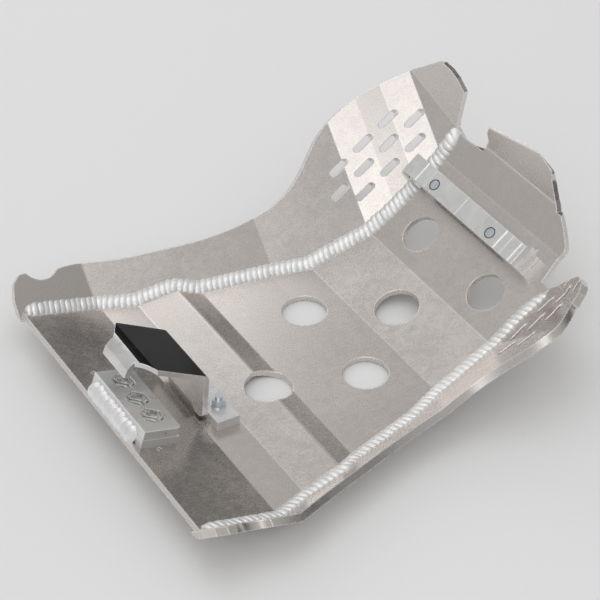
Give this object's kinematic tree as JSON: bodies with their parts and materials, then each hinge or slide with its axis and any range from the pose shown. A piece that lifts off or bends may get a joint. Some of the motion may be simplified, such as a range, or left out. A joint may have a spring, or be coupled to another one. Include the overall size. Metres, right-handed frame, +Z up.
{
  "type": "motorcycle skid plate",
  "caption": "welded aluminium skid plate with a creased belly, flared slotted wings, a rear clamp, a hook strap and a front clamp bar",
  "frame": {"origin": "middle of the flat sole panel's underside, on the ground", "axes": "+X forward along the bike, +Y to the rider's left, +Z up"},
  "size_m": [0.3841, 0.3256, 0.1284],
  "materials": {
    "sheet": "mill finish with satin smears",
    "weld": "bright rippled weld metal",
    "machined": "machined satin",
    "strap": "satin with a mirror sheen",
    "fastener": "bright zinc"
  },
  "bodies": {
    "root": {"belly_plate": "sheet", "left_wing": "sheet", "right_wing": "sheet", "left_seam_weld": "weld", "right_seam_weld": "weld", "clamp_base": "machined", "clamp_cap": "machined", "clamp_weld": "weld", "hook_strap": "strap", "hook_bar": "machined", "front_bar": "machined", "front_bolt_left": "fastener", "front_bolt_right": "fastener", "front_washer_left": "fastener", "front_washer_right": "fastener", "hook_bolt_left": "fastener", "hook_bolt_right": "fastener", "hook_washer_left": "fastener", "hook_washer_right": "fastener", "hook_nut_left": "fastener", "hook_nut_right": "fastener"}
  },
  "joints": []
}
